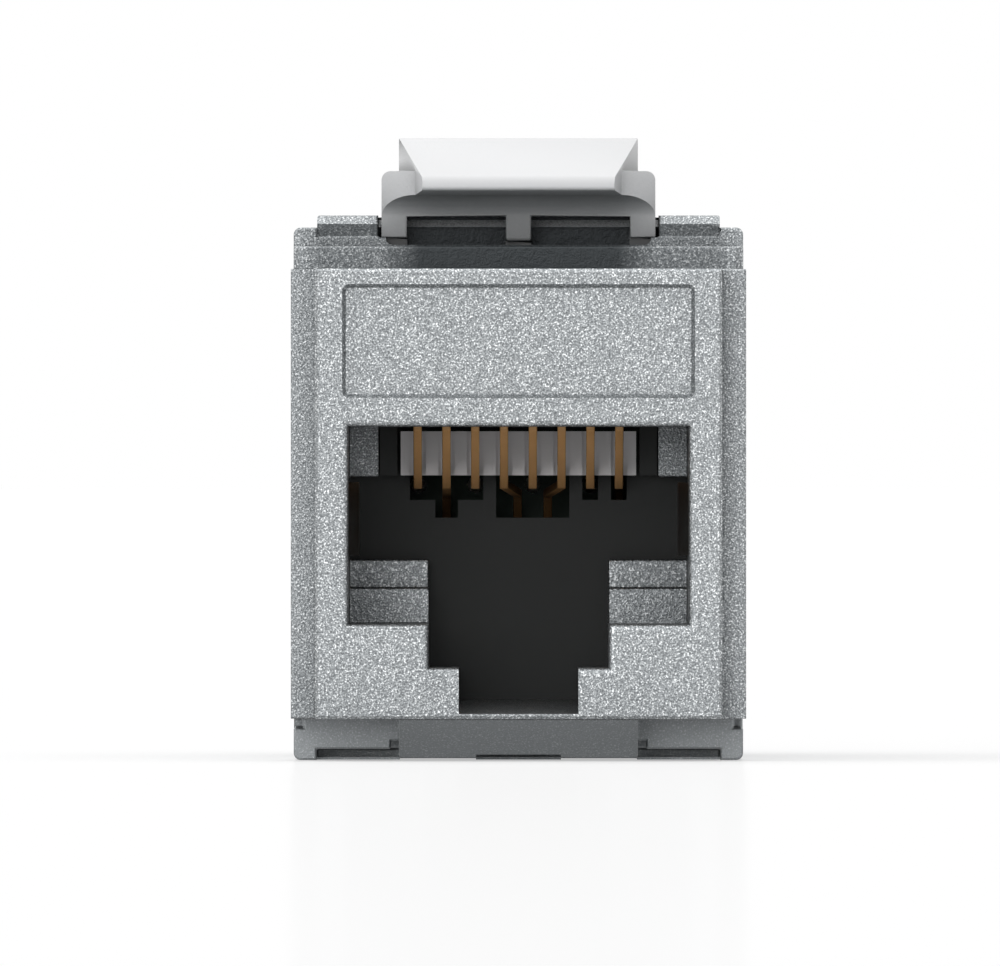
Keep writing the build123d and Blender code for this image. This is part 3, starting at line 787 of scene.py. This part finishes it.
def edge_chains(points: np.ndarray, ends: np.ndarray, sharp: np.ndarray) -> np.ndarray:
    """Numbers the runs of sharp edges that go on in nearly the same direction.

    Two edges are in one run where they are the only sharp ones at a vertex and bend there by less
    than 25 degrees, as along a straight stretch that goes over into a rounded corner.

    Args:
        points: Places of the vertices.
        ends: Vertex pairs of all edges.
        sharp: Which edges are sharp.

    Returns:
        Run number of each edge.
    """
    along = points[ends[:, 1]] - points[ends[:, 0]]
    along /= np.maximum(np.linalg.norm(along, axis=1, keepdims=True), TINY)
    at_vertex: dict[int, list[int]] = {}
    for index in np.flatnonzero(sharp).tolist():
        for vertex in ends[index].tolist():
            at_vertex.setdefault(vertex, []).append(index)
    chain = np.arange(len(ends))
    for met in at_vertex.values():
        if len(met) == 2 and abs(along[met[0]] @ along[met[1]]) > math.cos(RUN_BEND):
            chain[chain == chain[met[1]]] = chain[met[0]]
    return chain


def faultless(chain: np.ndarray, fault: np.ndarray) -> np.ndarray:
    """Tells for each edge whether no edge of its run has a fault."""
    return np.bincount(chain, fault, len(chain))[chain] == 0


def touched(ends: np.ndarray, count: int) -> np.ndarray:
    """Tells for each of the vertices whether one of the given edges ends there."""
    return np.bincount(ends.ravel(), minlength=count) > 0


def clear_of_others(
    points: np.ndarray,
    edges: np.ndarray,
    others: np.ndarray,
    same: np.ndarray,
    share: float,
    room: float,
) -> np.ndarray:
    """Tells which edges have no other edge within reach of one of their points.

    The point lies at a share of the edge's length. Its distance to another edge is measured to the
    nearest point of that edge, held between its ends. Edges that share an end or a run with it
    don't count.

    Args:
        points: Places of the vertices.
        edges: Vertex pairs of the edges asked about.
        others: Vertex pairs of the edges that may be near.
        same: Whether an edge and another one are in one run.
        share: Where on the edge the point lies, from 0 to 1.
        room: Distance that has to be clear.

    Returns:
        One truth value for each edge.
    """
    spot = points[edges[:, 0]] * (1.0 - share) + points[edges[:, 1]] * share
    start = points[others[:, 0]]
    along = points[others[:, 1]] - start
    offset = spot[:, None, :] - start[None, :, :]
    place = (offset * along).sum(-1) / np.maximum((along**2).sum(-1), TINY * MM**2)
    gap = np.linalg.norm(offset - np.clip(place, 0.0, 1.0)[..., None] * along, axis=-1)
    joined = (edges[:, None, :, None] == others[None, :, None, :]).any((-1, -2))
    return np.where(joined | same, np.inf, gap).min(axis=1) > room


def edges_to_round(mesh: bpy.types.Mesh, room: float) -> np.ndarray:
    """Picks the sharp edges that have room for a rounding, in whole runs.

    A run is picked where it is longer than the room, meets no other edge that is shorter than
    that, and no other sharp edge is that near it. On the foremost face a run is also left sharp
    where it meets a sharp edge that stays and the face is in triangles, because the rounding
    would slide along one of them and taper.

    Args:
        mesh: Mesh made by merged_copy.
        room: Distance that a rounding needs.

    Returns:
        One truth value for each edge.
    """
    ends = read_array(mesh.edges, "vertices", 2, np.int32)
    sharp = read_array(mesh.edges, "use_edge_sharp", 1, bool)
    in_plane = read_array(mesh.edges, "use_seam", 1, bool)
    points = read_array(mesh.vertices, "co", 3, float)
    length = np.linalg.norm(points[ends[:, 0]] - points[ends[:, 1]], axis=1)
    chain = edge_chains(points, ends, sharp)
    run_length = np.bincount(chain, length, len(ends))[chain]
    shares_end = (ends[:, None, :, None] == ends[None, :, None, :]).any((-1, -2))
    cramped = shares_end & (chain[:, None] != chain[None, :]) & (length[None, :] <= room)
    roomy = sharp & (run_length > room) & ~cramped.any(axis=1)
    for share in PROBED_SHARES:
        same = chain[roomy][:, None] == chain[sharp][None, :]
        roomy[roomy] = clear_of_others(points, ends[roomy], ends[sharp], same, share, room)
    roomy &= faultless(chain, ~roomy)
    foremost = points[:, 1] < points[:, 1].min() + SAME_PLANE
    in_triangles = touched(ends[in_plane], len(points))
    stays_sharp = touched(ends[sharp & ~roomy], len(points))
    skewed = (foremost & in_triangles & stays_sharp)[ends].any(axis=1)
    return roomy & faultless(chain, skewed)


def soften_edges(piece: bpy.types.Object, edge: Edge) -> None:
    """Rounds the sharp edges of a piece that have room for it.

    Args:
        piece: Piece made by merged_copy.
        edge: How far the edges are rounded.
    """
    rounded = edges_to_round(piece.data, ROOM_FACTOR * edge.value)
    weight = piece.data.attributes.new("bevel_weight_edge", "FLOAT", "EDGE")
    weight.data.foreach_set("value", rounded.astype(np.float32))
    bevel = piece.modifiers.new("Edge rounding", "BEVEL")
    bevel.width = edge.value
    bevel.segments = ROUNDING_SEGMENTS
    bevel.limit_method = "WEIGHT"
    bevel.loop_slide = False
    normals = piece.modifiers.new("Flat faces first", "WEIGHTED_NORMAL")
    normals.keep_sharp = True


# Sub-assemblies


@dataclass
class SoftenedNodes:
    """CAD nodes that are shown as merged copies with rounded edges."""

    frame: dict
    finish: bpy.types.Material
    slot: str
    edge: Edge

    def soften(self, node: str, name: str, body: Body) -> bpy.types.Object:
        """Makes the piece that is shown for a node.

        Args:
            node: Name of the CAD node.
            name: Name of the piece.
            body: Body that it rides on.

        Returns:
            The piece, which replaces the node.
        """
        piece = merged_copy(self.frame["nodes"][node], name, self.finish)
        soften_edges(piece, self.edge)
        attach(piece, body.value)
        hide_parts(node)
        return piece


@dataclass
class Castings(SoftenedNodes):
    """Front housing and the two rear wings, with softened edges."""

    slot: str = "zinc_casting"
    edge: Edge = Edge.CRISP

    def build(self) -> list[bpy.types.Object]:
        """Builds one softened piece for each casting.

        Returns:
            The pieces.
        """
        bodies = {
            "front_housing": Body.HOUSING,
            "wing_left": Body.LEFT_WING,
            "wing_right": Body.RIGHT_WING,
        }
        return [self.soften(node, f"{node}_casting", body) for node, body in bodies.items()]


@dataclass
class Latch(SoftenedNodes):
    """White release latch with soft moulded edges."""

    slot: str = "white_plastic"
    edge: Edge = Edge.SOFT

    def build(self) -> bpy.types.Object:
        """Builds the softened latch."""
        return self.soften("release_latch", "latch_moulding", Body.LATCH)


@dataclass
class PortContacts(SoftenedNodes):
    """The port contacts, with the rolled edges of flat wire."""

    slot: str = "gold_plating"
    edge: Edge = Edge.FINE
    contacts: int = 8

    def build(self) -> list[bpy.types.Object]:
        """Builds one softened piece for each contact."""
        nodes = [f"contact_{number + 1}" for number in range(self.contacts)]
        return [self.soften(node, f"{node}_wire", Body.HOUSING) for node in nodes]


@dataclass
class ShadeRidge:
    """Thin ridge along the top of the middle rib that closes the gap under the latch, so that the
    gap renders dark, standing in for shade there.

    Each of its waves has a height, a pace along the ridge and a phase.
    """

    finish: bpy.types.Material
    centre_y: float = 8.36 * MM
    base_z: float = 9.75 * MM
    half_length: float = 4.9 * MM
    half_width: float = 0.11 * MM
    height: float = 0.068 * MM
    bluntness: int = 12
    end_size: float = 0.03
    underside: float = -0.05
    waves: tuple[tuple[float, float, float], ...] = ((0.04, 31.0, 0.0), (0.03, 73.0, 1.0))
    stations: int = 121
    sides: int = 10

    def build(self) -> bpy.types.Object:
        """Builds the ridge.

        Its profile is an ellipse, cut flat at the underside, carried along X. The profile's size
        is the square root of 1 - u^bluntness at the share u of the half length, no smaller than
        end_size, with the weak waves on it.

        Returns:
            The piece.
        """
        along = np.linspace(-1.0, 1.0, self.stations)
        turn = np.linspace(0.0, 2.0 * np.pi, self.sides, endpoint=False)
        size = np.sqrt(np.maximum(1.0 - along**self.bluntness, self.end_size**2))
        swell = sum(high * np.sin(pace * along + lag) for high, pace, lag in self.waves)
        size = size * (1.0 + swell)
        across = self.centre_y + self.half_width * size[:, None] * np.cos(turn)
        upward = self.height * size[:, None] * np.maximum(np.sin(turn), self.underside)
        length = np.broadcast_to((self.half_length * along)[:, None], across.shape)
        points = np.stack([length, across, self.base_z + upward], -1).reshape(-1, 3)
        ring = np.arange(self.sides)
        start = (np.arange(self.stations - 1) * self.sides)[:, None]
        low, high = start + ring, start + (ring + 1) % self.sides
        faces = np.stack([low, low + self.sides, high + self.sides, high], -1).reshape(-1, 4)
        last = (self.stations - 1) * self.sides
        ends = [ring.tolist(), (last + ring[::-1]).tolist()]
        mesh = bpy.data.meshes.new("gap_shade_ridge")
        mesh.from_pydata(points.tolist(), [], faces.tolist() + ends)
        mesh.shade_smooth()
        mesh.materials.append(self.finish)
        piece = bpy.data.objects.new("gap_shade_ridge", mesh)
        bpy.context.scene.collection.objects.link(piece)
        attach(piece, Body.HOUSING.value)
        return piece


@dataclass
class Inside:
    """Insert, comb, board, terminals, organizer, springs and pins, which stay as CAD nodes."""

    frame: dict
    finishes: dict[str, bpy.types.Material]
    replaced_slots: tuple[str, ...] = ("zinc_casting", "white_plastic", "gold_plating")

    def build(self) -> int:
        """Gives each node that stays its finish in every material slot.

        Returns:
            The number of nodes dressed.
        """
        done = 0
        for part in self.frame["record"]["subparts"]:
            if part["material_slot"] in self.replaced_slots:
                continue
            finish = self.finishes[part["material_slot"]]
            slots = self.frame["nodes"][part["node"]].data.materials
            if not slots:
                slots.append(finish)
            for index in range(len(slots)):
                slots[index] = finish
            done += 1
        return done


@dataclass(frozen=True)
class Softbox:
    """Distant soft light that lights the whole floor evenly.

    It stands in a direction from the jack, fills a spread of the sky in degrees, and its level is
    the brightness that it gives a white face turned to it.
    """

    name: str
    towards: tuple[float, float, float]
    spread: float
    level: float

    def build(self) -> None:
        """Adds the light to the scene."""
        light = bpy.data.lights.new(self.name, "SUN")
        light.angle = math.radians(self.spread)
        light.energy = self.level * math.pi
        lamp = bpy.data.objects.new(self.name, light)
        lamp.rotation_euler = Vector(self.towards).to_track_quat("Z", "Y").to_euler()
        bpy.context.scene.collection.objects.link(lamp)


@dataclass
class Studio:
    """Pale floor, white surround, soft lamps and the camera."""

    floor_z: float
    floor_half: float = 60.0
    floor_fields: int = 8
    floor_tone: float = 0.6
    floor_gloss: float = 0.12
    floor_roughness: float = 0.12
    floor_glow: float = 0.436
    surround_light: float = 0.15
    lamps: tuple[Softbox, ...] = (
        Softbox("key", (-0.2, -0.15, 1.0), 110.0, 0.75),
        Softbox("front", (-0.25, -1.0, 0.1), 30.0, 0.2),
    )
    distance: float = 1.2
    pixels_per_mm: float = 28.5
    image_width: float = 1000.0
    centre_x: float = -0.65 * MM
    centre_z: float = 0.38 * MM
    sensor: float = 36.0
    clip: Span = (0.01, 100.0)

    def floor(self) -> bpy.types.Object:
        """Builds a wide flat floor under the object.

        Its lines stand at the cubes of evenly spaced numbers from -1 to 1, times the half width,
        so its fields are small at the object and large far away.

        Returns:
            The floor.
        """
        count = self.floor_fields + 1
        line = self.floor_half * np.linspace(-1.0, 1.0, count) ** 3
        grid_x, grid_y = np.meshgrid(line, line, indexing="ij")
        points = np.stack([grid_x, grid_y, np.full(grid_x.shape, self.floor_z)], -1).reshape(-1, 3)
        row = np.arange(self.floor_fields)
        low = (row[:, None] * count + row[None, :]).ravel()
        faces = np.stack([low, low + count, low + count + 1, low + 1], -1)
        mesh = bpy.data.meshes.new("floor")
        mesh.from_pydata(points.tolist(), [], faces.tolist())
        mesh.materials.append(self.floor_material())
        piece = bpy.data.objects.new("floor", mesh)
        bpy.context.scene.collection.objects.link(piece)
        piece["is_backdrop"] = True
        return piece

    def floor_material(self) -> bpy.types.Material:
        """Pale matt floor with a weak gloss, lifted to white where it is seen or mirrored.

        Returns:
            The material.
        """
        material, tree, shader = blank_material("pale_floor")
        tree.nodes.remove(shader)
        output = tree.nodes["Material Output"]
        diffuse = tree.nodes.new("ShaderNodeBsdfDiffuse")
        node_input(diffuse, "Color", (self.floor_tone, self.floor_tone, self.floor_tone, 1.0))
        gloss = tree.nodes.new("ShaderNodeBsdfGlossy")
        node_input(gloss, "Roughness", self.floor_roughness)
        glow = tree.nodes.new("ShaderNodeEmission")
        tree.links.new(product(tree, seen_mask(tree), self.floor_glow), glow.inputs["Strength"])
        mix = tree.nodes.new("ShaderNodeMixShader")
        node_input(mix, "Fac", self.floor_gloss)
        tree.links.new(diffuse.outputs[0], mix.inputs[1])
        tree.links.new(gloss.outputs[0], mix.inputs[2])
        add = tree.nodes.new("ShaderNodeAddShader")
        tree.links.new(mix.outputs[0], add.inputs[0])
        tree.links.new(glow.outputs[0], add.inputs[1])
        tree.links.new(add.outputs[0], output.inputs["Surface"])
        return material

    def surround(self) -> None:
        """White surround: full white where it is seen or mirrored, softer as a light."""
        world = bpy.data.worlds.new("surround")
        bpy.context.scene.world = world
        world.use_nodes = True
        tree = world.node_tree
        lift = product(tree, seen_mask(tree), 1.0 - self.surround_light)
        strength = math_node(tree, "ADD", lift, self.surround_light)
        tree.links.new(strength, tree.nodes["Background"].inputs["Strength"])
        node_input(tree.nodes["Background"], "Color", (1.0, 1.0, 1.0, 1.0))

    def camera(self) -> None:
        """Long lens, level with the middle of the port, as in the photograph.

        The lens is long enough to draw a millimetre of the nose face pixels_per_mm wide.
        """
        data = bpy.data.cameras.new("camera")
        data.sensor_width = self.sensor
        data.lens = self.pixels_per_mm * self.distance / MM * self.sensor / self.image_width
        data.clip_start, data.clip_end = self.clip
        camera = bpy.data.objects.new("camera", data)
        camera.location = (self.centre_x, -self.distance, self.centre_z)
        camera.rotation_euler = (math.radians(90), 0.0, 0.0)
        bpy.context.scene.collection.objects.link(camera)
        bpy.context.scene.camera = camera

    def build(self) -> None:
        """Builds the whole studio."""
        bpy.context.scene.view_settings.view_transform = "Standard"
        self.floor()
        self.surround()
        for lamp in self.lamps:
            lamp.build()
        self.camera()


def main() -> None:
    """Builds the looks of the jack piece by piece and the studio around it."""
    logging.basicConfig(level=logging.INFO)
    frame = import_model()
    effects = Effects.build()
    finishes = {finish.name: finish.build(effects) for finish in FINISHES}
    for piece in Castings(frame, finishes["zinc_casting"]).build():
        LOG.info("casting %s: %d faces", piece.name, len(piece.data.polygons))
    # The ridge closes the gap above the middle rib, so that it renders dark as shade.
    shade_ridge = ShadeRidge(finishes["zinc_casting"]).build()
    LOG.info("flash %s: %d faces", shade_ridge.name, len(shade_ridge.data.polygons))
    latch = Latch(frame, finishes["white_plastic"]).build()
    LOG.info("latch %s: %d faces", latch.name, len(latch.data.polygons))
    for piece in PortContacts(frame, finishes["gold_plating"]).build():
        LOG.info("contact %s: %d faces", piece.name, len(piece.data.polygons))
    LOG.info("nodes dressed: %d", Inside(frame, finishes).build())
    low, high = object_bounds()
    Studio(floor_z=low[2]).build()
    LOG.info("studio in place, object is %.1f mm high", (high[2] - low[2]) / MM)


if __name__ == "__main__":
    main()
